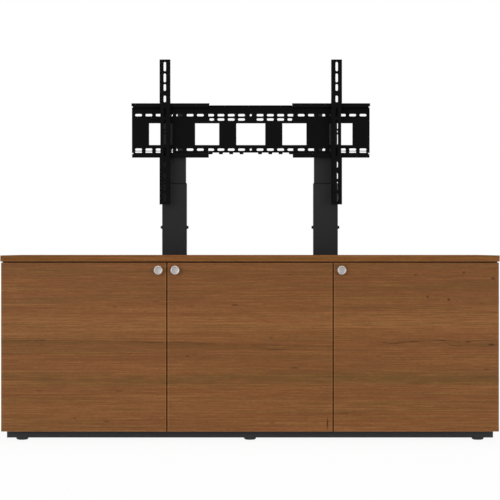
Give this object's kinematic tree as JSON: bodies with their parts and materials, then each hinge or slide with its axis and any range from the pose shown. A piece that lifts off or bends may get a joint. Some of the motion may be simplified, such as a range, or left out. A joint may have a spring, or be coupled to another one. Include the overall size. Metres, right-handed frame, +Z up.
{
  "type": "av credenza",
  "caption": "Low wood-look media cabinet with hinged doors on a dark plinth, and telescopic lift columns carrying a slotted bracket with sliding arms for a large screen.",
  "frame": {"origin": "on the floor, under the middle of the object", "axes": "+X to the right seen from the front, along the cabinet; +Y from the doors to the back; +Z up"},
  "size_m": [2.032, 0.6324, 1.614],
  "materials": {
    "walnut_laminate": "satin wood-grain laminate",
    "black_laminate": "matt black laminate on board",
    "satin_metal": "satin turned metal",
    "nickel_steel": "nickel-plated steel",
    "column_powder_coat": "dark grey powder coat",
    "bracket_powder_coat": "black powder coat",
    "black_plastic": "moulded black plastic",
    "bright_steel": "bright steel"
  },
  "bodies": {
    "cabinet": {"top_panel": "walnut_laminate", "top_spacer": "black_laminate", "sub_top": "black_laminate", "bottom_panel": "walnut_laminate", "side_panel_left": "walnut_laminate", "side_panel_right": "walnut_laminate", "partition_left": "walnut_laminate", "partition_right": "walnut_laminate", "inner_back": "walnut_laminate", "rear_cover_left": "walnut_laminate", "rear_cover_centre": "walnut_laminate", "rear_cover_right": "walnut_laminate", "shelf_left": "walnut_laminate", "shelf_centre": "walnut_laminate", "shelf_right": "walnut_laminate", "plinth_frame": "black_laminate", "foot_left_front": "black_plastic", "foot_centre_front": "black_plastic", "foot_right_front": "black_plastic", "foot_left_rear": "black_plastic", "foot_centre_rear": "black_plastic", "foot_right_rear": "black_plastic", "hinge_arm_left_lower": "nickel_steel", "hinge_arm_left_upper": "nickel_steel", "hinge_arm_centre_lower": "nickel_steel", "hinge_arm_centre_upper": "nickel_steel", "hinge_arm_right_lower": "nickel_steel", "hinge_arm_right_upper": "nickel_steel", "column_outer_left": "column_powder_coat", "column_outer_right": "column_powder_coat", "guide_collar_left": "black_plastic", "guide_collar_right": "black_plastic", "lift_motor_left": "black_plastic", "lift_motor_right": "black_plastic", "control_box": "black_plastic"},
    "left_door": {"door_left": "walnut_laminate", "knob_left": "satin_metal", "hinge_cup_left_lower": "nickel_steel", "hinge_cup_left_upper": "nickel_steel"},
    "centre_door": {"door_centre": "walnut_laminate", "knob_centre": "satin_metal", "hinge_cup_centre_lower": "nickel_steel", "hinge_cup_centre_upper": "nickel_steel"},
    "right_door": {"door_right": "walnut_laminate", "knob_right": "satin_metal", "hinge_cup_right_lower": "nickel_steel", "hinge_cup_right_upper": "nickel_steel"},
    "lift_carriage": {"column_inner_left": "column_powder_coat", "column_inner_right": "column_powder_coat", "spindle_nut_left": "black_plastic", "spindle_nut_right": "black_plastic", "head_saddle_left": "column_powder_coat", "head_saddle_right": "column_powder_coat", "centre_rail": "bracket_powder_coat", "end_plate_left": "bracket_powder_coat", "end_plate_right": "bracket_powder_coat"},
    "left_arm": {"screen_arm_left": "bracket_powder_coat"},
    "right_arm": {"screen_arm_right": "bracket_powder_coat"},
    "left_spindle": {"lift_spindle_left": "bright_steel"},
    "right_spindle": {"lift_spindle_right": "bright_steel"}
  },
  "joints": [
    {"name": "door_left_hinge", "type": "hinge", "parent": "cabinet", "child": "left_door", "pos_m": [-1.013, -0.29085, 0.38875], "axis": [0, 0, -1], "range_deg": [0, 95]},
    {"name": "door_centre_hinge", "type": "hinge", "parent": "cabinet", "child": "centre_door", "pos_m": [0.33617, -0.29085, 0.38875], "axis": [0, 0, 1], "range_deg": [0, 95]},
    {"name": "door_right_hinge", "type": "hinge", "parent": "cabinet", "child": "right_door", "pos_m": [1.013, -0.29085, 0.38875], "axis": [0, 0, 1], "range_deg": [0, 95]},
    {"name": "lift_slide", "type": "slide", "parent": "cabinet", "child": "lift_carriage", "axis": [0, 0, 1], "range_m": [-0.1, 0.4]},
    {"name": "arm_left_slide", "type": "slide", "parent": "lift_carriage", "child": "left_arm", "axis": [-1, 0, 0], "range_m": [-0.165, 0.12]},
    {"name": "arm_right_slide", "type": "slide", "parent": "lift_carriage", "child": "right_arm", "axis": [1, 0, 0], "range_m": [-0.165, 0.12]},
    {"name": "spindle_left_turn", "type": "hinge", "parent": "cabinet", "child": "left_spindle", "pos_m": [-0.333, 0.25115, 0.59], "axis": [0, 0, 1], "continuous": true},
    {"name": "spindle_right_turn", "type": "hinge", "parent": "cabinet", "child": "right_spindle", "pos_m": [0.333, 0.25115, 0.59], "axis": [0, 0, 1], "continuous": true}
  ],
  "couplings": [
    {"joint": "spindle_left_turn", "follows": "lift_slide", "rad_per_m": 314.16},
    {"joint": "spindle_right_turn", "follows": "lift_slide", "rad_per_m": 314.16}
  ]
}
